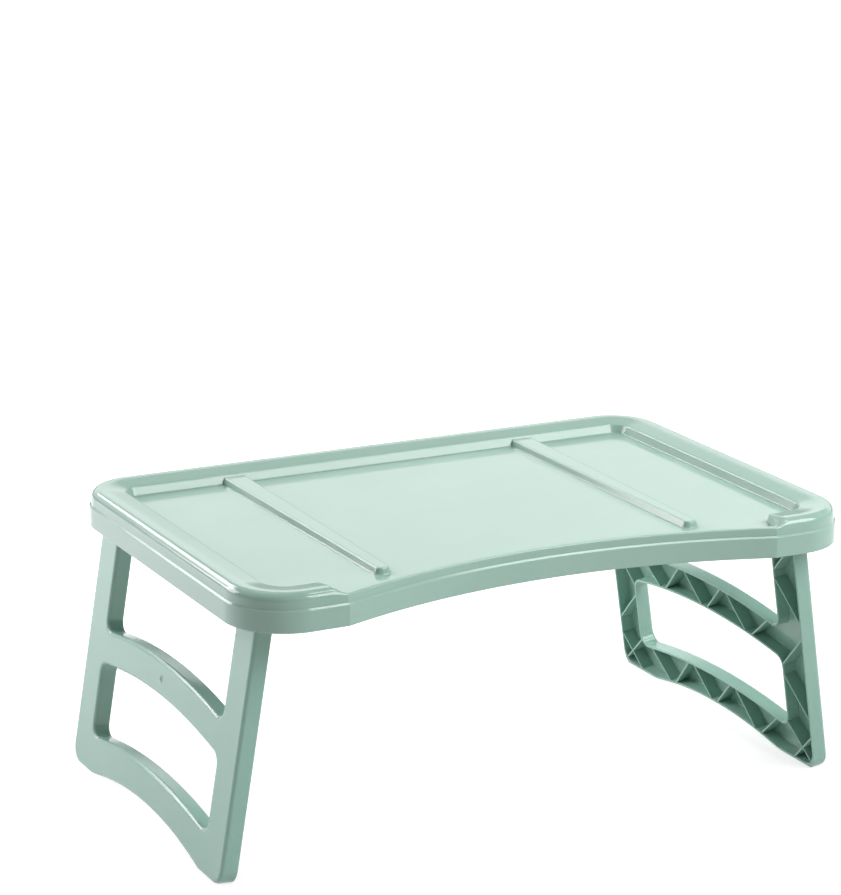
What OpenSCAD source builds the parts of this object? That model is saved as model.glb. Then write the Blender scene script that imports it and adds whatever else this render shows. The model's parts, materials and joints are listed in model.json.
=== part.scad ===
// Folding lap table: a shallow moulded tray with a concave front edge, two dividers and a
// stepped skirt, standing on two open leg frames that fold in flat under the deck.
// Everything is in millimetres. +Z is up, +X runs along the long side, -Y is the concave
// front where the user sits, and the origin is on the floor under the middle of the tray.

/* [Tray] */
// overall length of the tray
tray_l = 520; // [460:5:560]
// overall depth of the tray, from the front lobes to the back edge
tray_d = 342; // [330:2:370]
// height of the top of the rim above the floor
rim_z = 229.5; // [210:0.5:250]
// how far the rim stands above the deck
rim_rise = 9.5; // [8:0.5:12]
// how far the low front lip stands above the deck
lip_rise = 4.6; // [3:0.2:6]
// height of the lower band of the skirt
skirt_h = 17.4; // [16:0.2:20]
// thickness of the moulded wall
wall = 2.4; // [2:0.1:3]
// width of the rim from its outer edge to the foot of its inner face
rim_w = 32.5; // [28:0.5:36]
// radius of the two front corners
front_r = 48; // [42:1:60]
// radius of the two back corners
back_r = 42; // [40:1:60]
// half the length of the concave cut in the front edge
cut_half = 182; // [160:1:190]
// depth of the concave cut in the front edge
cut_depth = 33; // [20:1:36]
// distance of each divider from the middle
divider_x = 133; // [110:0.5:150]
// height of the dividers above the deck
divider_h = 5; // [3:0.5:6]

/* [Legs] */
// outward lean of an open leg
splay = 9; // [6:0.5:11]
// width of a leg frame along the depth of the tray
leg_w = 294; // [280:2:296]
// thickness of a leg frame
leg_t = 13.6; // [12:0.2:14]
// width of the two uprights
upright_w = 34; // [33:1:40]
// height of the arched lower crossbar
bar_h = 27; // [22:1:32]
// wall thickness of the leg mouldings
leg_wall = 2; // [1.6:0.1:2.6]

/* [Hinges] */
// radius of a hinge pin
pin_r = 2.5; // [2:0.1:3]
// radial clearance between a pin and the leg that turns on it
pin_clear = 0.05; // [0.03:0.01:0.1]
// thickness of a hinge lug
lug_t = 4; // [3:0.5:5]

/* [Hidden] */
$fn = 48;
big_fn = 240;
section_n = 6;
mint = [0.74, 0.86, 0.82];
leg_mint = [0.68, 0.82, 0.77];
steel = [0.75, 0.76, 0.77];

// tray levels
deck_z = rim_z - rim_rise;
step_z = deck_z - 2;
skirt_z = step_z - skirt_h;
under_z = deck_z - wall;

// rim section, measured inwards from the outer edge
step_in = 1.2;
roll_r = 6.5;
roll_x = step_in + roll_r;
roll_z = rim_z - roll_r;
ledge_x = rim_w - 3.5;
ledge_z = deck_z + 7;
lip_r = 1.6;
lip_top_z = deck_z + lip_rise;
lip_in = 9.5;

// concave front edge
cut_r = (cut_half * cut_half + cut_depth * cut_depth) / (2 * cut_depth);
cut_y = -tray_d / 2 + cut_depth - cut_r;
cut_a = asin(cut_half / cut_r);
lip_a = cut_a - 0.1;
kink_lap = 1;
ramp = 11;

// dividers
divider_base = 23;
divider_crest = 17;
divider_y0 = -126;

// legs, drawn upright about the hinge axis and then leant outwards
leg_y = 15;
hinge_x = tray_l / 2 - 30.4;
hinge_z = skirt_z + 8.4;
head_r = leg_t / 2;
leg_len = hinge_z / cos(splay);
half_w = leg_w / 2;
win_half = half_w - upright_w;
win_r = 9;
foot_r = 14;
arch_half = 98;
arch_rise = 11;
arch_r = (arch_half * arch_half + arch_rise * arch_rise) / (2 * arch_rise);
bar_r = 640;
low_top = arch_rise + bar_h;
up_low = 98.5;
up_top = up_low + bar_h;
skin = 2.2;
rib_t = 1.6;

// hinge stations, measured from the middle of a leg frame
knuckle_out = half_w - 6;
knuckle_len = 20;
knuckle_in = knuckle_out - knuckle_len;
gap = 0.5;
lug_r = 6;
pin_head_r = 4;
pin_head_t = 1.6;
notch_drop = 6.6;

// webs under the tray
web_t = 2;
web_z = skirt_z + 1;
stop_gap = 0.35;

// ---------------------------------------------------------------- tray

// Section of the raised rim, filled down to level b. g pulls every face inwards.
function rim_points(g, b) = concat(
    [[g, b], [g, step_z - g], [step_in + g, step_z - g]],
    [for (i = [0:section_n])
        let (t = 180 - 90 * i / section_n)
            [roll_x + (roll_r - g) * cos(t), roll_z + (roll_r - g) * sin(t)]],
    [[ledge_x - 0.66 * g, ledge_z - 0.92 * g], [rim_w - 0.62 * g + 0.5, deck_z - g - 1],
     [rim_w - 0.62 * g + 0.5, b]]);

module rim_section(g, b) {
    polygon(rim_points(g, b));
}

// Section of the low front lip, in the same form.
function lip_points(g, b) =
    let (r = max(lip_r - g, 0.4))
        concat(
            [[g, b], [g, step_z - g], [step_in + g, step_z - g]],
            [for (i = [0:section_n])
                let (t = 180 - 90 * i / section_n)
                    [step_in + g + r + r * cos(t), lip_top_z - g - r + r * sin(t)]],
            [[lip_in - 3.3 - 0.5 * g, lip_top_z - g], [lip_in - 0.5 * g + 0.7, deck_z - g - 1],
             [lip_in - 0.5 * g + 0.7, b]]);

module lip_section(g, b) {
    polygon(lip_points(g, b));
}

module straight_rim(length, g, b) {
    rotate([90, 0, 0])
        linear_extrude(length)
            rim_section(g, b);
}

module corner_rim(r, turn, g, b) {
    rotate([0, 0, turn])
        rotate_extrude(angle = 90)
            translate([r, 0])
                mirror([1, 0])
                    rim_section(g, b);
}

// A front lobe of the rim, sloping down to the lip beside the concave cut.
module lobe_rim(g, b) {
    lobe = tray_l / 2 - front_r - cut_half;
    difference() {
        translate([-cut_half - lobe, -tray_d / 2, 0])
            rotate([0, 0, 90])
                straight_rim(lobe + kink_lap, g, b);
        translate([-cut_half - ramp, -tray_d / 2 - 1, rim_z - g])
            rotate([0, atan((rim_z - lip_top_z) / ramp), 0])
                cube([60, rim_w + 4, 30]);
    }
}

// Plan of the flat deck, reaching under the rim on every side.
module deck_plan() {
    difference() {
        union() {
            translate([-tray_l / 2 + rim_w - 1, -tray_d / 2 + rim_w - 1])
                square([tray_l - 2 * rim_w + 2, tray_d - 2 * rim_w + 2]);
            translate([-cut_half, -tray_d / 2 + 1])
                square([2 * cut_half, rim_w + 4]);
        }
        translate([0, cut_y])
            circle(r = cut_r + lip_in - 1, $fn = big_fn);
    }
}

// A divider ridge, set a little into the deck below it, with sloping sides and front end.
module divider_mass(g) {
    low = deck_z - g - 1;
    top = deck_z + divider_h - g;
    hb = divider_base / 2 - 0.6 * g + 0.6;
    hc = divider_crest / 2 - 0.6 * g;
    y0 = divider_y0 + 0.6 * g;
    y1 = tray_d / 2 - rim_w + 5;
    intersection() {
        translate([0, y1, 0])
            rotate([90, 0, 0])
                linear_extrude(y1 - y0 + hb)
                    polygon([[-hb, low], [-hc, top], [hc, top], [hb, low]]);
        translate([-hb, 0, 0])
            rotate([90, 0, 90])
                linear_extrude(2 * hb)
                    polygon([[y0 - hb + hc, low], [y0, top], [y1 + 1, top], [y1 + 1, low]]);
    }
}

// The whole tray as a filled block, with every face pulled in by g and its base at b.
module tray_mass(g, b) {
    side_y0 = -tray_d / 2 + front_r;
    side_y1 = tray_d / 2 - back_r;
    back_x = tray_l / 2 - back_r;
    translate([-tray_l / 2, side_y1, 0])
        straight_rim(side_y1 - side_y0, g, b);
    translate([tray_l / 2, side_y0, 0])
        rotate([0, 0, 180])
            straight_rim(side_y1 - side_y0, g, b);
    translate([back_x, tray_d / 2, 0])
        rotate([0, 0, -90])
            straight_rim(2 * back_x, g, b);
    translate([back_x, side_y1, 0])
        corner_rim(back_r, 0, g, b);
    translate([-back_x, side_y1, 0])
        corner_rim(back_r, 90, g, b);
    translate([-tray_l / 2 + front_r, side_y0, 0])
        corner_rim(front_r, 180, g, b);
    translate([tray_l / 2 - front_r, side_y0, 0])
        corner_rim(front_r, 270, g, b);
    lobe_rim(g, b);
    mirror([1, 0, 0])
        lobe_rim(g, b);
    translate([0, cut_y, 0])
        rotate([0, 0, 90 - lip_a])
            rotate_extrude(angle = 2 * lip_a, $fn = big_fn)
                translate([cut_r, 0])
                    lip_section(g, b);
    translate([0, 0, b])
        linear_extrude(deck_z - g - b)
            deck_plan();
    for (s = [-1, 1])
        translate([s * divider_x, 0, 0])
            divider_mass(g);
}

// A lug that holds one end of a hinge pin, drawn up through the deck.
module hinge_lug() {
    translate([0, lug_t / 2, 0])
        rotate([90, 0, 0])
            linear_extrude(lug_t)
                difference() {
                    union() {
                        circle(r = lug_r);
                        translate([-lug_r, 0])
                            square([2 * lug_r, rim_z - hinge_z]);
                    }
                    circle(r = pin_r);
                }
}

// Two lugs for each hinge pin, one on each side of the leg's knuckle.
module hinge_lugs() {
    for (s = [-1, 1]) {
        translate([hinge_x, leg_y + s * (knuckle_out + gap + lug_t / 2), hinge_z])
            hinge_lug();
        translate([hinge_x, leg_y + s * (knuckle_in - gap - lug_t / 2), hinge_z])
            hinge_lug();
    }
}

// Webs inside the end skirt that the open leg leans against.
module stop_webs() {
    lean = tan(splay);
    face = hinge_x + head_r / cos(splay) + stop_gap;
    high = hinge_z + 4;
    for (y = [-100, -26, 54, 126])
        translate([0, y + web_t / 2, 0])
            rotate([90, 0, 0])
                linear_extrude(web_t)
                    polygon([[face + lean * (hinge_z - web_z), web_z], [tray_l / 2, web_z],
                             [tray_l / 2, rim_z], [hinge_x + 10, rim_z],
                             [hinge_x + 10, under_z + 4],
                             [face + lean * (hinge_z - high), high]]);
}

// Two stiffening webs under the middle of the deck, between the folded legs' feet.
module centre_webs() {
    for (s = [-1, 1])
        translate([s * 11 - web_t / 2, -tray_d / 2, skirt_z + 4])
            cube([web_t, tray_d, deck_z - skirt_z - 4]);
}

// Everything under the deck, trimmed to end inside the wall of the moulding.
module under_features() {
    intersection() {
        tray_mass(wall / 2, web_z);
        union() {
            for (s = [0, 1])
                mirror([s, 0, 0]) {
                    hinge_lugs();
                    stop_webs();
                }
            centre_webs();
        }
    }
}

module tray_top() {
    color(mint) {
        difference() {
            tray_mass(0, skirt_z);
            tray_mass(wall, skirt_z - 1);
        }
        under_features();
    }
}

// ---------------------------------------------------------------- legs

// One arched band edge: everything below the arc whose crown is at height h.
module below_arc(h, r, w) {
    intersection() {
        translate([0, h - r])
            circle(r = r, $fn = big_fn);
        translate([-w, h - 60])
            square([2 * w, 61]);
    }
}

// A window with rounded corners and an arched sill. A capped one has an arched head too, and
// the other runs out at the top.
module window(sill, head, capped, g) {
    w = win_half + g;
    cx = win_half - win_r;
    low_c = sill - bar_r + sqrt(pow(bar_r + win_r, 2) - cx * cx);
    high_c = capped ? head - bar_r + sqrt(pow(bar_r - win_r, 2) - cx * cx) : head;
    difference() {
        union() {
            translate([-w, low_c])
                square([2 * w, high_c - low_c]);
            translate([-cx, low_c - win_r - g - 1])
                square([2 * cx, head - low_c + win_r + 2 * g + 2]);
            for (s = [-1, 1]) {
                translate([s * cx, low_c])
                    circle(r = win_r + g);
                if (capped)
                    translate([s * cx, high_c])
                        circle(r = win_r + g);
            }
        }
        below_arc(sill - g, bar_r - g, half_w);
        if (capped)
            difference() {
                translate([-half_w, head - 30])
                    square([2 * half_w, 60]);
                translate([0, head - bar_r])
                    circle(r = bar_r + g, $fn = big_fn);
            }
    }
}

// Outline of a leg frame standing on its foot line, with every edge pulled in by g. The
// soles reach down to the level sole, past the foot line where the floor cut trims them.
module leg_outline(g, sole) {
    top = leg_len - notch_drop - g;
    heel = sole + foot_r - g;
    difference() {
        union() {
            translate([-half_w + g, heel])
                square([leg_w - 2 * g, top - heel]);
            translate([-half_w + foot_r, sole])
                square([leg_w - 2 * foot_r, foot_r + 1]);
            for (s = [-1, 1])
                translate([s * (half_w - foot_r), heel])
                    circle(r = foot_r - g);
        }
        translate([0, arch_rise + g - arch_r])
            circle(r = arch_r, $fn = big_fn);
        window(low_top, up_low, true, g);
        window(up_top, leg_len, false, g);
    }
}

// One straight stiffening rib on the hollow side of the frame.
module rib(a, b) {
    d = b - a;
    translate(a)
        rotate(atan2(d[1], d[0]))
            translate([-4, -rib_t / 2])
                square([norm(d) + 8, rib_t]);
}

// Zig-zag ribs of one crossbar, from its lower edge line lo to its upper edge line hi.
module bar_ribs(lo, hi) {
    for (s = [-1, 1]) {
        rib([s * 98, hi - 7], [s * 69, lo - 3]);
        rib([s * 63, lo - 2], [s * 35, hi]);
        rib([s * 29, hi], [s * 3, lo]);
    }
}

// Zig-zag ribs of one upright, with a cross in the foot.
module upright_ribs() {
    a = win_half;
    b = half_w;
    rib([b, 30], [a, -2]);
    rib([a, 32], [b, 2]);
    rib([a, 76], [b, 43]);
    rib([b, 117], [a, 83]);
    rib([a, 161], [b, 127]);
    rib([a, 166], [b, 200]);
}

module rib_plan() {
    intersection() {
        leg_outline(leg_wall / 2, 1);
        union() {
            bar_ribs(arch_rise, low_top);
            bar_ribs(up_low, up_top);
            for (s = [0, 1])
                mirror([s, 0])
                    upright_ribs();
        }
    }
}

// Lays a drawing of the frame into the plane of the leg, hinge axis at the origin. The
// outer face is at +X and the hollow side at -X.
module in_leg_plane(x0, x1) {
    translate([x0, 0, -leg_len])
        rotate([90, 0, 90])
            linear_extrude(x1 - x0)
                children();
}

module along_y(y0, y1, r) {
    translate([0, y1, 0])
        rotate([90, 0, 0])
            cylinder(r = r, h = y1 - y0);
}

// The leg frame, upright about its hinge axis.
module leg_frame() {
    bar_end = knuckle_in - 2 * gap - lug_t;
    block_h = notch_drop + leg_wall;
    difference() {
        union() {
            difference() {
                in_leg_plane(-head_r, head_r)
                    leg_outline(0, -2);
                in_leg_plane(-head_r - 1, head_r - skin)
                    leg_outline(leg_wall, leg_wall + 1);
            }
            in_leg_plane(-head_r, head_r - skin / 2)
                rib_plan();
            along_y(-bar_end, bar_end, head_r);
            for (s = [0, 1])
                mirror([0, s, 0]) {
                    along_y(knuckle_in, knuckle_out, head_r);
                    translate([-head_r, knuckle_in, -block_h])
                        cube([leg_t, knuckle_len, block_h]);
                    translate([-head_r, win_half - 1, -block_h])
                        cube([leg_t, bar_end - win_half + 1, block_h]);
                }
        }
        along_y(-half_w - 1, half_w + 1, pin_r + pin_clear);
        translate([-head_r - 1, -bar_end + 2.4, -head_r + skin])
            cube([leg_t + 1 - skin, 2 * bar_end - 4.8, 2 * head_r - 2 * skin]);
    }
}

// The leg leant outwards, with its feet cut level with the floor.
module open_leg() {
    difference() {
        translate([hinge_x, leg_y, hinge_z])
            rotate([0, -splay, 0])
                leg_frame();
        translate([hinge_x - 20, leg_y - half_w - 1, -20])
            cube([80, leg_w + 2, 20]);
    }
}

module right_leg() {
    color(leg_mint)
        open_leg();
}

// The left leg is the same moulding turned round.
module left_leg() {
    color(leg_mint)
        translate([0, 2 * leg_y, 0])
            rotate([0, 0, 180])
                open_leg();
}

// ---------------------------------------------------------------- hinge pins

// A headed pin through both lugs and the knuckle between them, head outwards.
module hinge_pin() {
    inner = knuckle_in - gap - lug_t;
    outer = knuckle_out + gap + lug_t;
    along_y(inner, outer, pin_r);
    along_y(outer, outer + pin_head_t, pin_head_r);
}

module right_rear_pin() {
    color(steel)
        translate([hinge_x, leg_y, hinge_z])
            hinge_pin();
}

module right_front_pin() {
    color(steel)
        translate([hinge_x, leg_y, hinge_z])
            rotate([0, 0, 180])
                hinge_pin();
}

module left_rear_pin() {
    color(steel)
        translate([-hinge_x, leg_y, hinge_z])
            hinge_pin();
}

module left_front_pin() {
    color(steel)
        translate([-hinge_x, leg_y, hinge_z])
            rotate([0, 0, 180])
                hinge_pin();
}

tray_top();
left_leg();
right_leg();
left_front_pin();
left_rear_pin();
right_front_pin();
right_rear_pin();
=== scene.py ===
"""Folding lap table: a moulded tray and two open leg frames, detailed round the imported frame."""

import json
import math

import bmesh
import bpy
from mathutils import Matrix, Vector
from mathutils.geometry import tessellate_polygon


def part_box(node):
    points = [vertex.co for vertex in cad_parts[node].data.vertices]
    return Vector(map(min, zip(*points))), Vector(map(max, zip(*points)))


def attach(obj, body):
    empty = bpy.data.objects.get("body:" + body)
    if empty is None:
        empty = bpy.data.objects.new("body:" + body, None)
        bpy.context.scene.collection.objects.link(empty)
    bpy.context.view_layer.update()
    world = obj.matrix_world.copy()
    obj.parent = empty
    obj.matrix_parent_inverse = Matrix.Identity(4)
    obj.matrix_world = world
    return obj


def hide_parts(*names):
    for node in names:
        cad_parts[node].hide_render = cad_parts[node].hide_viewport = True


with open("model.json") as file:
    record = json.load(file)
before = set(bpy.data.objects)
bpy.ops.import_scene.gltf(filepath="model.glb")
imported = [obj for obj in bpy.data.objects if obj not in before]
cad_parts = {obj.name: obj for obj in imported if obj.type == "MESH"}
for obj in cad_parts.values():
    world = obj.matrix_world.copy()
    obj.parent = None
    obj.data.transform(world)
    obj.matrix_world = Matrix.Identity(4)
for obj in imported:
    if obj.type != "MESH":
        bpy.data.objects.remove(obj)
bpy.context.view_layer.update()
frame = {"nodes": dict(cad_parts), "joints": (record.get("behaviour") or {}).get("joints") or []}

MM = 0.001

# ---------------------------------------------------------------- sizes, in millimetres

tray_lo, tray_hi = (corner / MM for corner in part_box("tray_top"))
TRAY_L = tray_hi.x - tray_lo.x
TRAY_D = tray_hi.y - tray_lo.y
RIM_Z = tray_hi.z
SKIRT_Z = tray_lo.z
DECK_Z = RIM_Z - 9.5
STEP_Z = DECK_Z - 2
WALL = 2.4
HALF_WALL = WALL / 2
UNDER_Z = DECK_Z - WALL

# plan of the tray, with angles in degrees
FRONT_R = 48
BACK_R = 42
CUT_HALF = 182
CUT_DEPTH = 33
CUT_R = (CUT_HALF ** 2 + CUT_DEPTH ** 2) / (2 * CUT_DEPTH)
CUT_Y = -TRAY_D / 2 + CUT_DEPTH - CUT_R
CUT_A = math.degrees(math.asin(CUT_HALF / CUT_R))
CUT_STEPS = 24
TURN_FROM = 0.75          # share of the cut after which the section turns to the mitre
KINK_R = 9                # softens the kink between the cut and a front lobe
RAMP = 13                 # stretch of the lobe where the lip climbs to the rim
RAMP_STEPS = 14
FRONT_STEPS = 28
BACK_STEPS = 26

# section of the rim and of the front lip, measured inwards from the outer edge
STEP_IN = 1.5             # the upper band stands in from the skirt
STEP_R = 1.2
ROLL_R = 6.5              # outer roll of the rim
ROLL_X = STEP_IN + ROLL_R
CREST_X = 12.3            # where the crest would meet the sloping top
CREST_R = 55
CREST_Z = RIM_Z - 0.01    # just under the CAD box
LEDGE_X = 29              # inner end of the sloping top
LEDGE_Z = DECK_Z + 7
RIM_W = 32.5              # foot of the rim's inner facet
RIM_END = 36              # end of the rim's section, on the flat deck
INNER_LEDGE_X = 27.7      # underside corners of the rim
INNER_LEDGE_Z = LEDGE_Z - 2.3
INNER_FOOT_X = 31.2
MID_LEDGE_X = 28.3        # the same corners in the middle of the wall
MID_LEDGE_Z = LEDGE_Z - 1.1
MID_FOOT_X = 31.8
LIP_Z = DECK_Z + 4.6
LIP_FLAT = 6.2            # inner edge of the lip's top
LIP_IN = 9.5              # foot of the lip's inner side
LIP_END = 13              # end of the lip's section, on the flat deck
INNER_LIP_X = 5.6         # underside corners of the lip
INNER_LIP_FOOT = 8.4

# dividers
DIVIDER_X = 133
DIVIDER_H = 5
DIVIDER_BASE = 22
DIVIDER_LEAN = 1.9        # draft of each side, over the height
DIVIDER_NARROW = 4        # taken off each side by the front end
DIVIDER_FLARE = 2.4       # foot that runs out into the deck
DIVIDER_R = 6
DIVIDER_FRONT = -TRAY_D / 2 + 42
GROOVE_FOOT = 2.2         # inset of the hollow's side from the divider's, low and high
GROOVE_HEAD = 4.8
GROOVE_BACK = TRAY_D / 2 - 28.6

# legs
hinge = {j["child"]: [value / MM for value in j["pos_m"]] for j in frame["joints"]}
HINGE_X, LEG_Y, HINGE_Z = hinge["right_leg"]
leg_lo, leg_hi = (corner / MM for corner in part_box("right_leg"))
HALF_W = (leg_hi.y - leg_lo.y) / 2
SPLAY = 9                 # degrees from upright when open
LEG_T = 13.6              # thickness, from the smooth face to the hollow side
HEAD_R = LEG_T / 2
LEG_LEN = HINGE_Z / math.cos(math.radians(SPLAY))
WIN_HALF = HALF_W - 34    # half width of the windows between the uprights
WIN_R = 9
FOOT_R = 14
HEAD_CORNER_R = 4
SOLE = -2                 # feet run past the floor here and are cut level when open
SOLE_INSIDE = 3           # floor of a foot's hollow
ARCH_HALF = 98
ARCH_RISE = 11
ARCH_R = (ARCH_HALF ** 2 + ARCH_RISE ** 2) / (2 * ARCH_RISE)
BAR_R = 640               # arch of the crossbars
BAR_H = 27
LOW_TOP = ARCH_RISE + BAR_H
UP_LOW = 98.5
UP_TOP = UP_LOW + BAR_H
LEG_WALL = 2              # wall round the hollow
SKIN = 2.2                # skin behind the smooth face
RIB_T = 1.6
RIB_REACH = 60            # longest search for a wall
# ends of a crossbar's ribs from the middle, at its top and at its low edge
BAR_RIBS = ((98, 69), (35, 63), (29, 3))
# heights of an upright's ribs, at the window and at the outer edge
POST_RIBS = ((-2, 30), (32, 2), (76, 43), (83, 117), (161, 127), (166, 200))
FACE_R = 3
NOTCH = 6.6               # uprights end this far below the hinge axis
LAP = 1.2                 # overlap of solids that are one moulding
KNUCKLE_OUT = HALF_W - 6
KNUCKLE_IN = KNUCKLE_OUT - 20
GAP = 0.5                 # running gap between a knuckle and a lug
LUG_T = 4
LUG_R = 6
LUG_EASE = 0.35
BORE_R = 2.55
BAR_END = KNUCKLE_IN - 2 * GAP - LUG_T

# webs under the tray
WEB_T = 2
WEB_EASE = 0.2
STOP_Y = (-100, -26, 54, 126)  # webs that an open leg leans against
STOP_Z = SKIRT_Z + 1
STOP_TOP = HINGE_Z + 4
STOP_IN = HINGE_X + 10
STOP_GAP = 0.35
CENTRE_X = 11             # two long webs under the middle
CENTRE_Z = SKIRT_Z + 4

# shading
SHARP_ANGLE = 38
FLAT_COS = 0.99999


# ---------------------------------------------------------------- outlines

def arc(cx, cy, r, a0, a1, n):
    """n + 1 points on an arc from angle a0 to a1, in degrees."""
    turns = [math.radians(a0 + (a1 - a0) * i / n) for i in range(n + 1)]
    return [(cx + r * math.cos(t), cy + r * math.sin(t)) for t in turns]


def rounded(corners, closed=False):
    """A line through corners (x, y, radius, steps), with each corner turned into an arc."""
    points = []
    count = len(corners)
    for i, (x, y, r, steps) in enumerate(corners):
        here = Vector((x, y))
        if r == 0 or (not closed and i in (0, count - 1)):
            points.append((x, y))
            continue
        back = (Vector(corners[i - 1][:2]) - here).normalized()
        on = (Vector(corners[(i + 1) % count][:2]) - here).normalized()
        half = back.angle(on) / 2
        centre = here + (back + on).normalized() * r / math.sin(half)
        first = here + back * r / math.tan(half) - centre
        last = here + on * r / math.tan(half) - centre
        sweep = first.angle_signed(last)
        for k in range(steps + 1):
            turn = Matrix.Rotation(-sweep * k / steps, 2)
            p = centre + turn @ first
            points.append((p.x, p.y))
    return points


def blend_lines(a, b, t):
    """The line part of the way from line a to line b, point by point."""
    return [(p[0] + (q[0] - p[0]) * t, p[1] + (q[1] - p[1]) * t) for p, q in zip(a, b)]


def smooth(t):
    """Eases t from 0 to 1 with no slope at either end."""
    t = min(max(t, 0), 1)
    return t * t * (3 - 2 * t)


# ---------------------------------------------------------------- meshes

class Shell:
    """Collects points and faces of one mesh, in millimetres."""

    def __init__(self):
        self.points = []
        self.faces = []

    def ring(self, points):
        """Adds a row of points and gives their numbers."""
        start = len(self.points)
        self.points.extend(points)
        return list(range(start, len(self.points)))

    def skin(self, rings, closed=True):
        """Joins each ring of points to the next with quads."""
        for a, b in zip(rings, rings[1:]):
            n = len(a)
            for i in range(n if closed else n - 1):
                j = (i + 1) % n
                self.faces.append((a[i], a[j], b[j], b[i]))

    def fill(self, loops):
        """Closes flat loops of points, the first one outside and the rest holes in it."""
        flat = [[Vector(self.points[i]) for i in loop] for loop in loops]
        order = [i for loop in loops for i in loop]
        self.faces.extend([order[k] for k in tri] for tri in tessellate_polygon(flat))

    def solid(self, rings):
        """A closed solid through a stack of rings, with flat ends."""
        self.skin(rings)
        self.fill([rings[0]])
        self.fill([rings[-1]])

    def add(self, other, place=lambda p: p):
        """Adds another shell's points, moved by place, and its faces."""
        start = len(self.points)
        self.points.extend(place(p) for p in other.points)
        self.faces.extend([start + i for i in face] for face in other.faces)

    def mesh(self, name):
        """Makes the Blender object, in metres."""
        data = bpy.data.meshes.new(name)
        data.from_pydata([Vector(p) * MM for p in self.points], [], self.faces)
        data.validate()
        made = bpy.data.objects.new(name, data)
        bpy.context.scene.collection.objects.link(made)
        bpy.context.view_layer.objects.active = made
        face_outwards(data)
        return made


def face_outwards(data):
    """Turns every face of a closed mesh to look outwards."""
    bm = bmesh.new()
    bm.from_mesh(data)
    bmesh.ops.recalc_face_normals(bm, faces=bm.faces)
    bm.to_mesh(data)
    bm.free()


def combine(body, tool, operation):
    """Joins tool to body, or cuts it away, and removes tool."""
    step = body.modifiers.new(operation.title(), "BOOLEAN")
    step.solver = "EXACT"
    step.operation = operation
    step.object = tool
    graph = bpy.context.evaluated_depsgraph_get()
    made = bpy.data.meshes.new_from_object(body.evaluated_get(graph))
    body.modifiers.remove(step)
    body.data = made
    bpy.data.objects.remove(tool)


def crease_flats(data, way):
    """Ends the smooth shading at the border of the flat faces that look along way, or back."""
    bm = bmesh.new()
    bm.from_mesh(data)
    for edge in bm.edges:
        flat = [abs(face.normal.dot(way)) > FLAT_COS for face in edge.link_faces]
        if any(flat) and not all(flat):
            edge.smooth = False
    bm.to_mesh(data)
    bm.free()


def finish_piece(piece, material, body, node, way):
    """Smooth shading, material, and the piece's place in the frame."""
    data = piece.data
    data.materials.clear()
    data.materials.append(material)
    data.shade_smooth()
    data.set_sharp_from_angle(angle=math.radians(SHARP_ANGLE))
    crease_flats(data, way)
    weights = piece.modifiers.new("Weighted normals", "WEIGHTED_NORMAL")
    weights.keep_sharp = True
    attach(piece, body)
    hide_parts(node)


# ---------------------------------------------------------------- tray

def inner_crest():
    """Height where the band's inner face would meet the underside of the sloping top."""
    lean = math.atan((RIM_Z - LEDGE_Z) / (LEDGE_X - ROLL_X))
    r = ROLL_R - WALL
    return RIM_Z - ROLL_R + r / math.cos(lean) + r * math.tan(lean)


def rim_section():
    """Section of the raised rim from under the deck, round the skirt, to the deck's top."""
    return rounded([
        (RIM_END, UNDER_Z, 0, 0),
        (INNER_FOOT_X, UNDER_Z, 1.0, 3),
        (INNER_LEDGE_X, INNER_LEDGE_Z, 1.0, 3),
        (STEP_IN + WALL, inner_crest(), ROLL_R - WALL, 7),
        (STEP_IN + WALL, STEP_Z - WALL, 0.4, 2),
        (WALL, STEP_Z - WALL, 0.4, 2),
        (WALL, SKIRT_Z, 0.6, 3),
        (0, SKIRT_Z, 0.9, 4),
        (0, STEP_Z - STEP_R, 0.4, 4),
        (STEP_IN, STEP_Z, 0, 0),
        (STEP_IN, CREST_Z, ROLL_R, 9),
        (CREST_X, CREST_Z, CREST_R, 4),
        (LEDGE_X, LEDGE_Z, 2.2, 5),
        (RIM_W, DECK_Z, 1.6, 5),
        (RIM_END, DECK_Z, 0, 0),
    ])


def lip_section():
    """Section of the low front lip, with as many points as the rim's."""
    return rounded([
        (LIP_END, UNDER_Z, 0, 0),
        (INNER_LIP_FOOT, UNDER_Z, 0.6, 3),
        (INNER_LIP_X, LIP_Z - WALL, 0.6, 3),
        (STEP_IN + WALL, LIP_Z - WALL, 0.4, 7),
        (STEP_IN + WALL, STEP_Z - WALL, 0.4, 2),
        (WALL, STEP_Z - WALL, 0.4, 2),
        (WALL, SKIRT_Z, 0.6, 3),
        (0, SKIRT_Z, 0.9, 4),
        (0, STEP_Z - STEP_R, 0.4, 4),
        (STEP_IN, STEP_Z, 0, 0),
        (STEP_IN, LIP_Z, 1.3, 14),
        (LIP_FLAT, LIP_Z, 1.4, 5),
        (LIP_IN, DECK_Z, 1.6, 5),
        (LIP_END, DECK_Z, 0, 0),
    ])


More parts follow.
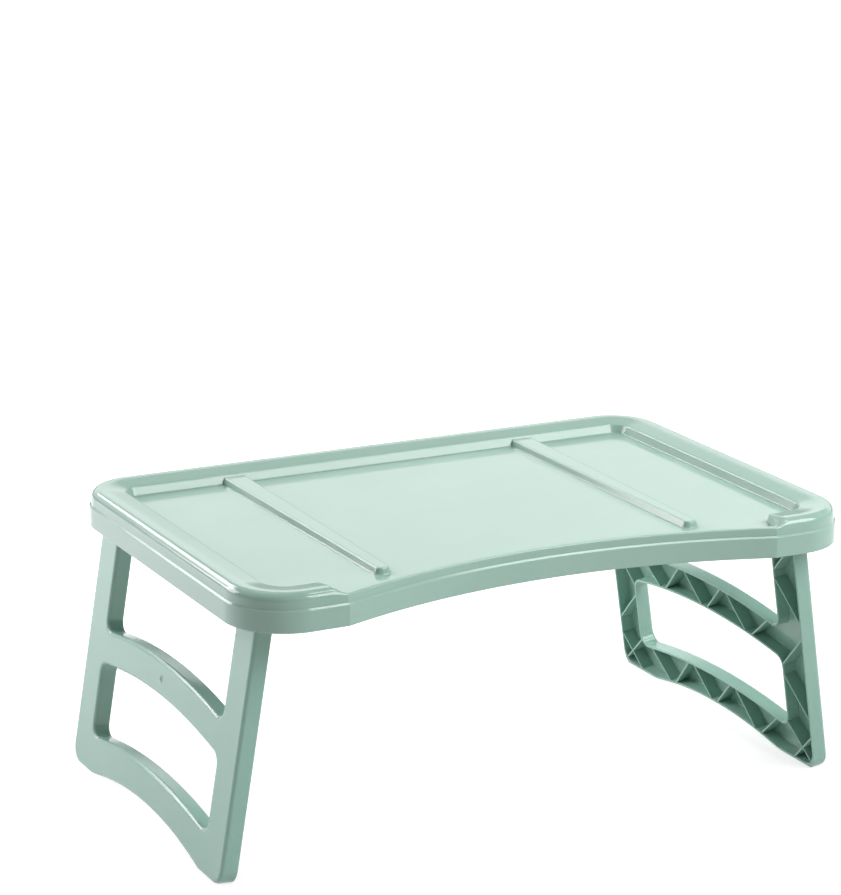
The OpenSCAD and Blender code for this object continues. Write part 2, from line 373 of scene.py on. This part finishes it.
def half_outline():
    """Stations round the right half: edge point, inward direction, share of lip section."""
    end, front, back = TRAY_L / 2, -TRAY_D / 2, TRAY_D / 2
    mitre = math.tan(math.radians(CUT_A / 2))
    stations = []
    # concave front, from the middle to the kink, where the section turns to the mitre
    for i in range(CUT_STEPS + 1):
        near = smooth((i / CUT_STEPS - TURN_FROM) / (1 - TURN_FROM))
        turn = math.radians(CUT_A * i / CUT_STEPS - near * CUT_A / 2)
        radial = math.radians(CUT_A * i / CUT_STEPS)
        reach = 1 / math.cos(turn - radial)
        stations.append((CUT_R * math.sin(radial), CUT_Y + CUT_R * math.cos(radial),
                         reach * math.sin(turn), reach * math.cos(turn), 1))
    kink = stations.pop()
    # the softened kink itself
    half = math.radians(CUT_A / 2)
    out = KINK_R * (1 / math.cos(half) - 1)
    stations.append((kink[0], kink[1] + out, mitre, 1, 1))
    # front lobe, climbing from the lip to the full rim
    for i in range(1, RAMP_STEPS + 1):
        low = 1 - smooth(i / RAMP_STEPS)
        stations.append((CUT_HALF + RAMP * i / RAMP_STEPS, front, mitre * low, 1, low))
    # front and back corners; the straight end lies between them, and the back edge follows
    for x, y in arc(0, 0, 1, -90, 0, FRONT_STEPS):
        stations.append((end - FRONT_R + FRONT_R * x, front + FRONT_R + FRONT_R * y, -x, -y, 0))
    for x, y in arc(0, 0, 1, 0, 90, BACK_STEPS):
        stations.append((end - BACK_R + BACK_R * x, back - BACK_R + BACK_R * y, -x, -y, 0))
    return stations


def outline():
    """Stations round the whole tray, starting in the middle of the concave front."""
    half = half_outline()
    other = [(-x, y, -nx, ny, t) for x, y, nx, ny, t in reversed(half[1:])]
    return half + other


def tray_body():
    """The plain moulding: rim, lip, skirt and deck, with a wall of even thickness."""
    shell = Shell()
    rim, lip = rim_section(), lip_section()
    sections = []
    for x, y, nx, ny, t in outline():
        line = blend_lines(rim, lip, t)
        sections.append([(x + w * nx, y + w * ny, z) for w, z in line])
    rings = [shell.ring(ring) for ring in zip(*sections)]
    shell.skin(rings)
    shell.fill([rings[0]])
    shell.fill([rings[-1]])
    return shell


def divider_loop(x, inset, z, rear):
    """One level of a divider: a bar that starts under the rim and narrows to the front."""
    rear_half = DIVIDER_BASE / 2 - inset
    front_half = rear_half - DIVIDER_NARROW
    front = DIVIDER_FRONT + inset
    r = max(DIVIDER_R - inset, 1.2)
    corners = [(x + rear_half, rear, 0, 0), (x - rear_half, rear, 0, 0),
               (x - front_half, front, r, 6), (x + front_half, front, r, 6)]
    return [(px, py, z) for px, py in rounded(corners, closed=True)]


def divider_ridge(shell, x):
    """The raised side of a divider, which runs back into the rim's inner slope."""
    top = DECK_Z + DIVIDER_H
    side = rounded([(-DIVIDER_FLARE, DECK_Z - 0.07, 0, 0), (0, DECK_Z, 1.3, 4),
                    (DIVIDER_LEAN, top, 1.5, 5), (DIVIDER_LEAN + 3, top, 0, 0)])
    rings = []
    for inset, z in [(-DIVIDER_FLARE, DECK_Z - 1.3), *side]:
        into_rim = RIM_W - 1.3 - 0.5 * max(z - DECK_Z, 0)
        rings.append(shell.ring(divider_loop(x, inset, z, TRAY_D / 2 - into_rim)))
    shell.solid(rings)


def divider_groove(shell, x):
    """The hollow side of a divider, under the deck."""
    top = DECK_Z + DIVIDER_H - WALL
    levels = [(GROOVE_FOOT - 1.2, UNDER_Z - 2), (GROOVE_FOOT - 0.8, UNDER_Z - 0.4),
              (GROOVE_FOOT, UNDER_Z + 0.4), (GROOVE_HEAD - 0.6, top - 0.5), (GROOVE_HEAD, top)]
    shell.solid([shell.ring(divider_loop(x, inset, z, GROOVE_BACK)) for inset, z in levels])


def edge_inset(x, y):
    """Distance of a plan point from the tray's outer edge, near the ends."""
    end = TRAY_L / 2 - abs(x)
    for r, past in ((BACK_R, y - (TRAY_D / 2 - BACK_R)), (FRONT_R, -y - (TRAY_D / 2 - FRONT_R))):
        if past > 0 and end < r:
            return r - math.hypot(r - end, past)
    return end


def mid_wall(inset):
    """Height of the middle of the wall at a distance from the outer edge."""
    line = [(WALL, STEP_Z + 5), (4, RIM_Z - 3), (ROLL_X, RIM_Z - HALF_WALL),
            (MID_LEDGE_X, MID_LEDGE_Z), (MID_FOOT_X, DECK_Z - HALF_WALL),
            (TRAY_D, DECK_Z - HALF_WALL)]
    for (w0, z0), (w1, z1) in zip(line, line[1:]):
        if inset <= w1:
            return z0 + (z1 - z0) * max(inset - w0, 0) / (w1 - w0)


def slab(shell, edge, y0, y1, bevel):
    """Rings of a flat plate standing across Y, from points (x, z), with eased edges."""
    middle = sum((Vector(p) for p in edge), Vector((0, 0))) / len(edge)
    rings = []
    for y, inset in ((y0, bevel), (y0 + bevel, 0), (y1 - bevel, 0), (y1, bevel)):
        ring = []
        for corner in edge:
            p = Vector(corner)
            p += (middle - p).normalized() * inset
            ring.append((p.x, y, p.y))
        rings.append(shell.ring(ring))
    return rings


def hinge_lug(shell, side, y):
    """A lug that holds one end of a hinge pin, grown down from the tray's wall."""
    points = arc(HINGE_X, HINGE_Z, LUG_R, 180, 360, 20)
    steps = 8
    for i in range(steps + 1):
        x = HINGE_X + LUG_R - 2 * LUG_R * i / steps
        points.append((x, mid_wall(edge_inset(x, y))))
    start = len(shell.points)
    shell.solid(slab(shell, points, y - LUG_T / 2, y + LUG_T / 2, LUG_EASE))
    mirror_from(shell, start, side)


def mirror_from(shell, start, side):
    """Mirrors the points made since start to the other end of the tray, if side is -1."""
    if side < 0:
        shell.points[start:] = [(-x, y, z) for x, y, z in shell.points[start:]]


def stop_web(shell, side, y):
    """A web in the end skirt that an open leg leans against."""
    lean = math.tan(math.radians(SPLAY))
    face = HINGE_X + HEAD_R / math.cos(math.radians(SPLAY)) + STOP_GAP
    edge = TRAY_L / 2
    step = STEP_Z - HALF_WALL
    skirt = [(edge - HALF_WALL, STOP_Z), (edge - HALF_WALL, step), (edge - WALL, step)]
    over = [(edge - w, mid_wall(w)) for w in (WALL, 4, 6, ROLL_X, 14, edge - STOP_IN)]
    leg_side = [(STOP_IN, UNDER_Z + 4), (face + lean * (HINGE_Z - STOP_TOP), STOP_TOP)]
    points = [(face + lean * (HINGE_Z - STOP_Z), STOP_Z), *skirt, *over, *leg_side]
    start = len(shell.points)
    shell.solid(slab(shell, points, y - WEB_T / 2, y + WEB_T / 2, WEB_EASE))
    mirror_from(shell, start, side)


def centre_web(shell, side):
    """A long stiffening web under the middle of the deck."""
    front = CUT_Y + CUT_R
    back = TRAY_D / 2
    step, lip = STEP_Z - HALF_WALL, LIP_Z - HALF_WALL
    skirt = [(back - HALF_WALL, CENTRE_Z), (back - HALF_WALL, step), (back - WALL, step)]
    over = [(back - w, mid_wall(w)) for w in (WALL, 4, 6, ROLL_X, 18, MID_LEDGE_X, MID_FOOT_X)]
    under_lip = [(front + 9, DECK_Z - HALF_WALL), (front + 6, lip), (front + 2.6, lip),
                 (front + 2.6, step), (front + HALF_WALL, step)]
    points = [(front + HALF_WALL, CENTRE_Z), *skirt, *over, *under_lip]
    plate = Shell()
    plate.solid(slab(plate, points, -WEB_T / 2, WEB_T / 2, WEB_EASE))
    shell.add(plate, lambda p: (side * CENTRE_X + p[1], p[0], p[2]))


def make_tray(material):
    """The tray moulding: body, dividers, hinge lugs and webs joined into one closed mesh."""
    tray = tray_body().mesh("tray_moulding")
    extras = Shell()
    grooves = Shell()
    for side in (-1, 1):
        divider_ridge(extras, side * DIVIDER_X)
        divider_groove(grooves, side * DIVIDER_X)
        for end in (-1, 1):
            hinge_lug(extras, side, LEG_Y + end * (KNUCKLE_OUT + GAP + LUG_T / 2))
            hinge_lug(extras, side, LEG_Y + end * (KNUCKLE_IN - GAP - LUG_T / 2))
        for y in STOP_Y:
            stop_web(extras, side, y)
        centre_web(extras, side)
    combine(tray, extras.mesh("extras"), "UNION")
    combine(tray, grooves.mesh("grooves"), "DIFFERENCE")
    finish_piece(tray, material, "tray", "tray_top", Vector((0, 0, 1)))


# ---------------------------------------------------------------- legs

def leg_loop(g, sole):
    """Outer edge of a leg frame in its own plane, with every edge pulled in by g."""
    top = LEG_LEN - NOTCH
    heel = sole + FOOT_R - g
    arch_z = ARCH_RISE + g - ARCH_R
    spring = math.degrees(math.acos((sole - arch_z) / ARCH_R))
    sill_z = UP_TOP - BAR_R
    cx = WIN_HALF - WIN_R
    cz = sill_z + math.sqrt((BAR_R + WIN_R) ** 2 - cx ** 2)
    tip = math.degrees(math.asin(cx / (BAR_R + WIN_R)))
    right = (arc(HALF_W - FOOT_R, heel, FOOT_R - g, -90, 0, 10)
             + arc(HALF_W - HEAD_CORNER_R, top - HEAD_CORNER_R, HEAD_CORNER_R - g, 0, 90, 4)
             + arc(WIN_HALF + HEAD_CORNER_R, top - HEAD_CORNER_R, HEAD_CORNER_R - g, 90, 180, 4)
             + arc(cx, cz, WIN_R + g, 0, -90 - tip, 10)
             + arc(0, sill_z, BAR_R - g, 90 - tip, 90, 14)[1:])
    left = [(-u, s) for u, s in reversed(right[:-1])]
    arch = arc(0, arch_z, ARCH_R, 90 + spring, 90 - spring, 28)
    return right + left + arch


def window_loop(g):
    """Edge of the lower window, pushed out into the frame by g."""
    cx = WIN_HALF - WIN_R
    low_z, high_z = LOW_TOP - BAR_R, UP_LOW - BAR_R
    low_c = low_z + math.sqrt((BAR_R + WIN_R) ** 2 - cx ** 2)
    high_c = high_z + math.sqrt((BAR_R - WIN_R) ** 2 - cx ** 2)
    low_tip = math.degrees(math.asin(cx / (BAR_R + WIN_R)))
    high_tip = math.degrees(math.asin(cx / (BAR_R - WIN_R)))
    right = (arc(0, low_z, BAR_R - g, 90, 90 - low_tip, 14)
             + arc(cx, low_c, WIN_R + g, -90 - low_tip, 0, 10)[1:]
             + arc(cx, high_c, WIN_R + g, 0, 90 - high_tip, 10)
             + arc(0, high_z, BAR_R + g, 90 - high_tip, 90, 14)[1:])
    left = [(-u, s) for u, s in reversed(right[1:-1])]
    return right + left


def leg_levels():
    """Levels (x, inset, sole) from the outer face, over the wall, to the hollow's floor."""
    face = [(HEAD_R - FACE_R + FACE_R * c, FACE_R * (1 - s), SOLE + FACE_R * (1 - s))
            for s, c in arc(0, 0, 1, 90, 0, 7)]
    floor = HEAD_R - SKIN
    rim = [(-HEAD_R + drop, inset, SOLE + inset)
           for drop, inset in ((0.5, 0), (0.15, 0.15), (0, 0.5))]
    inside = [(x, LEG_WALL + more, SOLE_INSIDE + more)
              for x, more in ((-HEAD_R, -0.5), (-HEAD_R + 0.15, -0.15), (-HEAD_R + 0.5, 0),
                              (floor - 1.0, 0.15), (floor - 0.3, 0.35), (floor, 1.0))]
    return face + rim + inside


def inside_edge(point, way, loops):
    """How far point can go along way before it meets one of the loops."""
    reach = RIB_REACH
    for loop in loops:
        for (ax, ay), (bx, by) in zip(loop, loop[1:] + loop[:1]):
            ex, ey = bx - ax, by - ay
            cross = way[0] * ey - way[1] * ex
            if abs(cross) < 1e-9:
                continue
            dx, dy = ax - point[0], ay - point[1]
            along = (dx * ey - dy * ex) / cross
            share = (dx * way[1] - dy * way[0]) / cross
            if along > 0 and -1e-6 <= share <= 1 + 1e-6:
                reach = min(reach, along)
    return reach


def add_rib(shell, a, b, loops):
    """One stiffening rib on the hollow side, running into the walls at both ends."""
    centre = Vector(((a[0] + b[0]) / 2, (a[1] + b[1]) / 2))
    way = (Vector(b) - Vector(a)).normalized()
    start = centre - way * inside_edge(centre, -way, loops)
    stop = centre + way * inside_edge(centre, way, loops)
    side = Vector((-way.y, way.x))
    top, base = -HEAD_R + 0.12, HEAD_R - SKIN + 0.5
    half = RIB_T / 2
    section = [(base, -half - 0.7), (base - 0.7, -half - 0.35), (base - 1.6, -half - 0.2),
               (top + 0.45, -half), (top + 0.13, -half + 0.13), (top, -half + 0.45)]
    section += [(x, -w) for x, w in reversed(section)]
    rings = []
    for end in (start, stop):
        rings.append(shell.ring([(x, *(end + side * w)) for x, w in section]))
    shell.solid(rings)


def bar_edge(crown, r, u):
    """Height of an arched edge at distance u from the middle."""
    return crown - r + math.sqrt(r * r - u * u)


def add_ribs(shell):
    """Zig-zag ribs in both crossbars and both uprights, with a cross in each foot."""
    # the ribs end 1 mm inside the walls
    loops = [leg_loop(1, 1.6), window_loop(1)]
    bars = ((ARCH_RISE, ARCH_R, LOW_TOP), (UP_LOW, BAR_R, UP_TOP))
    for side in (-1, 1):
        for low, low_r, high in bars:
            for u0, u1 in BAR_RIBS:
                upper = (side * u0, bar_edge(high, BAR_R, u0))
                lower = (side * u1, bar_edge(low, low_r, u1))
                add_rib(shell, upper, lower, loops)
        for inner, outer in POST_RIBS:
            add_rib(shell, (side * WIN_HALF, inner), (side * HALF_W, outer), loops)


def tongue(shell, y0, y1):
    """Rings of a hinge end that is round over the axis, straight below it, and eased."""
    low = -NOTCH - LEG_WALL
    section = [(HEAD_R, low), *arc(0, 0, HEAD_R, 0, 180, 20), (-HEAD_R, low)]
    ease = 0.6
    rings = []
    for y, pull in ((y0, ease), (y0 + ease, 0), (y1 - ease, 0), (y1, ease)):
        size = 1 - pull / HEAD_R
        rings.append(shell.ring([(x * size, y, z * size if z > 0 else z) for x, z in section]))
    return rings


def add_hinge_bar(shell):
    """The channel between the uprights, the blocks at its ends, and the two knuckles."""
    pocket = HEAD_R - SKIN
    near = pocket - 0.6
    channel = [(-pocket, -pocket), *arc(0, 0, HEAD_R, 222, 498, 30), (-pocket, pocket),
               (near, pocket), (pocket, near), (pocket, -near), (near, -pocket)]
    shell.solid([shell.ring([(x, y, z) for x, z in channel])
                 for y in (LAP - BAR_END, BAR_END - LAP)])
    bore = arc(0, 0, BORE_R, 0, 360, 32)[:-1]
    for side in (-1, 1):
        part = Shell()
        part.solid(tongue(part, WIN_HALF - LAP, BAR_END))
        outer = tongue(part, KNUCKLE_IN, KNUCKLE_OUT)
        inner = [part.ring([(x, y, z) for x, z in bore]) for y in (KNUCKLE_IN, KNUCKLE_OUT)]
        part.skin(outer)
        part.skin(inner)
        part.fill([outer[0], inner[0]])
        part.fill([outer[-1], inner[-1]])
        shell.add(part, lambda p: (p[0], side * p[1], p[2]))


def add_gate_mark(shell):
    """Round mark left by the moulding gate, in the middle of the upper bar's outer face."""
    middle = (UP_LOW + UP_TOP) / 2 - LEG_LEN
    ridge = ((3.0, -0.5), (3.0, 0.1), (2.7, 0.35), (1.6, 0.35), (1.2, 0.1))
    stub = ((0.8, 0.1), (0.7, 0.6), (0.5, 0.7))
    rings = []
    for r, out in ridge + stub:
        disc = arc(0, middle, r, 0, 360, 24)[:-1]
        rings.append(shell.ring([(HEAD_R + out, u, s) for u, s in disc]))
    shell.solid(rings)


def leg_shell():
    """The whole leg frame, upright, with its hinge axis at the origin and hollow at -X."""
    shell = Shell()
    levels = leg_levels()
    edge = [shell.ring([(x, u, s - LEG_LEN) for u, s in leg_loop(g, sole)])
            for x, g, sole in levels]
    hole = [shell.ring([(x, u, s - LEG_LEN) for u, s in window_loop(g)]) for x, g, _ in levels]
    shell.skin(edge)
    shell.skin(hole)
    shell.fill([edge[0], hole[0]])
    shell.fill([edge[-1], hole[-1]])
    ribs = Shell()
    add_ribs(ribs)
    shell.add(ribs, lambda p: (p[0], p[1], p[2] - LEG_LEN))
    add_hinge_bar(shell)
    add_gate_mark(shell)
    return shell


def open_leg(point):
    """Leans a point of the upright leg outwards to its open place, feet cut level."""
    x, y, z = point
    a = math.radians(SPLAY)
    height = HINGE_Z + x * math.sin(a) + z * math.cos(a)
    if height < 0:
        z -= height / math.cos(a)
        height = 0.0
    return (HINGE_X + x * math.cos(a) - z * math.sin(a), LEG_Y + y, height)


def turned(point):
    """The same place on the leg at the other end: the moulding turned half round."""
    x, y, z = open_leg(point)
    return (-x, 2 * LEG_Y - y, z)


def make_leg(name, node, place, material):
    """A leg moulding put in its open place, under the CAD node that it replaces."""
    placed = Shell()
    placed.add(leg_shell(), place)
    leg = placed.mesh(name)
    way = Vector(place((1, 0, 0))) - Vector(place((0, 0, 0)))
    finish_piece(leg, material, node, node, way)


# ---------------------------------------------------------------- materials

class Nodes:
    """Short way to add and join shader nodes."""

    def __init__(self, name):
        self.material = bpy.data.materials.new(name)
        self.material.use_nodes = True
        self.tree = self.material.node_tree
        self.shader = self.tree.nodes["Principled BSDF"]
        self.place = self.tree.nodes.new("ShaderNodeTexCoord").outputs["Object"]

    def join(self, a, b):
        self.tree.links.new(a, b)

    def noise(self, scale, detail=2.0, roughness=0.5, stretch=(1, 1, 1)):
        """A noise pattern fixed to the object, squeezed or stretched along its axes."""
        mapping = self.tree.nodes.new("ShaderNodeMapping")
        mapping.inputs["Scale"].default_value = stretch
        self.join(self.place, mapping.inputs["Vector"])
        node = self.tree.nodes.new("ShaderNodeTexNoise")
        node.inputs["Scale"].default_value = scale
        node.inputs["Detail"].default_value = detail
        node.inputs["Roughness"].default_value = roughness
        self.join(mapping.outputs["Vector"], node.inputs["Vector"])
        return node.outputs["Fac"]

    def spread(self, value, low, high, to_low, to_high):
        """Maps the range low to high onto to_low to to_high."""
        node = self.tree.nodes.new("ShaderNodeMapRange")
        node.inputs["From Min"].default_value = low
        node.inputs["From Max"].default_value = high
        node.inputs["To Min"].default_value = to_low
        node.inputs["To Max"].default_value = to_high
        self.join(value, node.inputs["Value"])
        return node.outputs["Result"]

    def mix(self, value, a, b):
        """A colour between a and b."""
        node = self.tree.nodes.new("ShaderNodeMix")
        node.data_type = "RGBA"
        colours = [s for s in node.inputs if s.type == "RGBA"]
        colours[0].default_value = (*a, 1)
        colours[1].default_value = (*b, 1)
        self.join(value, node.inputs["Factor"])
        return [s for s in node.outputs if s.type == "RGBA"][0]

    def bump(self, value, strength, distance, under=None):
        """Surface relief from a pattern, on top of the relief under it."""
        node = self.tree.nodes.new("ShaderNodeBump")
        node.inputs["Strength"].default_value = strength
        node.inputs["Distance"].default_value = distance
        self.join(value, node.inputs["Height"])
        if under:
            self.join(under, node.inputs["Normal"])
        return node.outputs["Normal"]


def moulded_plastic(name, light, deep, rough, depth):
    """Satin polypropylene: cloudy pigment, faint waves in the gloss, and a fine grain."""
    n = Nodes(name)
    cloud = n.spread(n.noise(9, 4, 0.55), 0.3, 0.7, 0, 1)
    n.join(n.mix(cloud, light, deep), n.shader.inputs["Base Color"])
    smear = n.spread(n.noise(38, 3, 0.6, (0.25, 1, 1)), 0.3, 0.75, rough - 0.03, rough + 0.04)
    n.join(smear, n.shader.inputs["Roughness"])
    waves = n.bump(n.noise(14, 1, 0.4), 0.15, 0.0006)
    grain = n.bump(n.noise(700, 2, 0.5), 0.04, 0.00004, waves)
    n.join(grain, n.shader.inputs["Normal"])
    n.shader.inputs["IOR"].default_value = 1.49
    n.shader.inputs["Subsurface Weight"].default_value = depth
    n.shader.inputs["Subsurface Radius"].default_value = (0.6, 1.0, 0.9)
    n.shader.inputs["Subsurface Scale"].default_value = 0.004
    return n.material


def drawn_steel():
    """Plain bright pin wire with fine lines round it from drawing."""
    n = Nodes("drawn_steel")
    lines = n.noise(900, 3, 0.6, (1, 0.05, 1))
    n.join(n.mix(n.noise(60, 3), (0.62, 0.63, 0.64), (0.52, 0.53, 0.55)),
           n.shader.inputs["Base Color"])
    n.join(n.spread(lines, 0.3, 0.7, 0.24, 0.42), n.shader.inputs["Roughness"])
    n.join(n.bump(lines, 0.2, 0.00003), n.shader.inputs["Normal"])
    n.shader.inputs["Metallic"].default_value = 1.0
    return n.material


def studio_floor():
    """Pale floor that glows towards the back, and throws only a little light on the table."""
    n = Nodes("studio_floor")
    n.join(n.mix(n.noise(2, 2), (0.36, 0.36, 0.36), (0.35, 0.35, 0.35)),
           n.shader.inputs["Base Color"])
    n.shader.inputs["Roughness"].default_value = 0.75
    n.shader.inputs["Specular IOR Level"].default_value = 0.25
    n.shader.inputs["Emission Color"].default_value = (1, 1, 1, 1)
    depth = n.tree.nodes.new("ShaderNodeSeparateXYZ")
    n.join(n.place, depth.inputs["Vector"])
    glow = n.spread(depth.outputs["Y"], -0.2, 2.0, 0.68, 2.0)
    bounce = n.tree.nodes.new("ShaderNodeLightPath").outputs["Is Diffuse Ray"]
    seen = n.tree.nodes.new("ShaderNodeMapRange")
    n.join(bounce, seen.inputs["Value"])
    n.join(glow, seen.inputs["To Min"])
    seen.inputs["To Max"].default_value = 0.26
    n.join(seen.outputs["Result"], n.shader.inputs["Emission Strength"])
    return n.material


# ---------------------------------------------------------------- studio

# camera: angles in degrees, aim and distance in metres, lens in millimetres
YAW = 27.7
PITCH = 15.5
ROLL = 0.51
AIM = (0.0, 0.0712, 0.2505)
DISTANCE = 2.4162
LENS = 120.65

FLOOR_HALF = 6000
BRIGHT_SIDE = (0.3, 0.95, 0.1)
TABLE_TOP = (0, 0, 0.2)
TABLE_SIDE = (0, 0, 0.15)


def make_camera():
    """Camera at the height and side of the reference view."""
    yaw, pitch, roll = (math.radians(v) for v in (YAW, PITCH, ROLL))
    ahead = Vector((math.sin(yaw) * math.cos(pitch), math.cos(yaw) * math.cos(pitch),
                    -math.sin(pitch)))
    right = ahead.cross(Vector((0, 0, 1))).normalized()
    up = right.cross(ahead)
    right, up = (right * math.cos(roll) + up * math.sin(roll),
                 up * math.cos(roll) - right * math.sin(roll))
    data = bpy.data.cameras.new("camera")
    data.lens = LENS
    data.sensor_width = 36
    data.clip_end = 50
    camera = bpy.data.objects.new("camera", data)
    camera.matrix_world = Matrix((right, up, -ahead)).transposed().to_4x4()
    camera.location = Vector(AIM) - ahead * DISTANCE
    bpy.context.scene.collection.objects.link(camera)
    bpy.context.scene.camera = camera


def add_softbox(name, place, aim, size, power, colour=(1, 1, 1)):
    """A square light in metres and watts, turned towards aim and hidden from the camera."""
    data = bpy.data.lights.new(name, "AREA")
    data.shape = "RECTANGLE"
    data.size, data.size_y = size
    data.energy = power
    data.color = colour
    lamp = bpy.data.objects.new(name, data)
    lamp.location = place
    lamp.visible_camera = False
    lamp.rotation_euler = (Vector(aim) - Vector(place)).to_track_quat("-Z", "Y").to_euler()
    bpy.context.scene.collection.objects.link(lamp)


def make_studio():
    """Floor, surround and four softboxes."""
    floor = Shell()
    signs = ((-1, -1), (1, -1), (1, 1), (-1, 1))
    floor.faces.append(floor.ring([(FLOOR_HALF * a, FLOOR_HALF * b, 0) for a, b in signs]))
    plane = floor.mesh("floor")
    plane.data.materials.append(studio_floor())
    add_world()
    bpy.context.scene.view_settings.view_transform = "Standard"
    add_softbox("key", (0.85, -1.05, 1.25), TABLE_TOP, (1.2, 0.8), 25)
    add_softbox("left", (-1.45, 1.3, 0.95), TABLE_SIDE, (1.1, 1.1), 27, (1.0, 0.88, 0.94))
    add_softbox("left_back", (-0.7, 2.0, 1.5), TABLE_TOP, (1.3, 0.7), 20)
    add_softbox("top", (0.9, -0.3, 2.1), TABLE_TOP, (0.6, 0.6), 9)


def add_world():
    """Pale surround with one bright low band behind the table, which the deck reflects."""
    world = bpy.data.worlds.new("studio")
    world.use_nodes = True
    tree = world.node_tree
    background = tree.nodes["Background"]
    background.inputs["Color"].default_value = (1, 1, 1, 1)
    place = tree.nodes.new("ShaderNodeTexCoord").outputs["Generated"]

    def ramp(value, low, high, to_low, to_high):
        """Eases from to_low to to_high, each a number or another ramp's result."""
        node = tree.nodes.new("ShaderNodeMapRange")
        node.interpolation_type = "SMOOTHSTEP"
        tree.links.new(value, node.inputs["Value"])
        for name, number in (("From Min", low), ("From Max", high)):
            node.inputs[name].default_value = number
        for name, level in (("To Min", to_low), ("To Max", to_high)):
            if isinstance(level, float):
                node.inputs[name].default_value = level
            else:
                tree.links.new(level, node.inputs[name])
        return node.outputs["Result"]

    toward = tree.nodes.new("ShaderNodeVectorMath")
    toward.operation = "DOT_PRODUCT"
    toward.inputs[1].default_value = Vector(BRIGHT_SIDE).normalized()
    tree.links.new(place, toward.inputs[0])
    height = tree.nodes.new("ShaderNodeSeparateXYZ")
    tree.links.new(place, height.inputs["Vector"])
    behind = ramp(toward.outputs["Value"], 0.30, 0.80, 0.10, 1.55)
    above = ramp(height.outputs["Z"], 0.34, 0.46, behind, 0.3)
    level = ramp(height.outputs["Z"], 0.10, 0.21, 0.25, above)
    tree.links.new(level, background.inputs["Strength"])
    bpy.context.scene.world = world


# ---------------------------------------------------------------- scene

make_camera()
make_studio()

tray_plastic = moulded_plastic("tray_plastic", (0.30, 0.455, 0.39), (0.285, 0.44, 0.375),
                               rough=0.12, depth=0.12)
leg_plastic = moulded_plastic("leg_plastic", (0.27, 0.45, 0.38), (0.255, 0.435, 0.365),
                              rough=0.18, depth=0.35)
steel = drawn_steel()

make_tray(tray_plastic)
make_leg("right_leg_moulding", "right_leg", open_leg, leg_plastic)
make_leg("left_leg_moulding", "left_leg", turned, leg_plastic)
for name in ("left_front_pin", "left_rear_pin", "right_front_pin", "right_rear_pin"):
    pin = frame["nodes"][name]
    pin.data.materials.clear()
    pin.data.materials.append(steel)
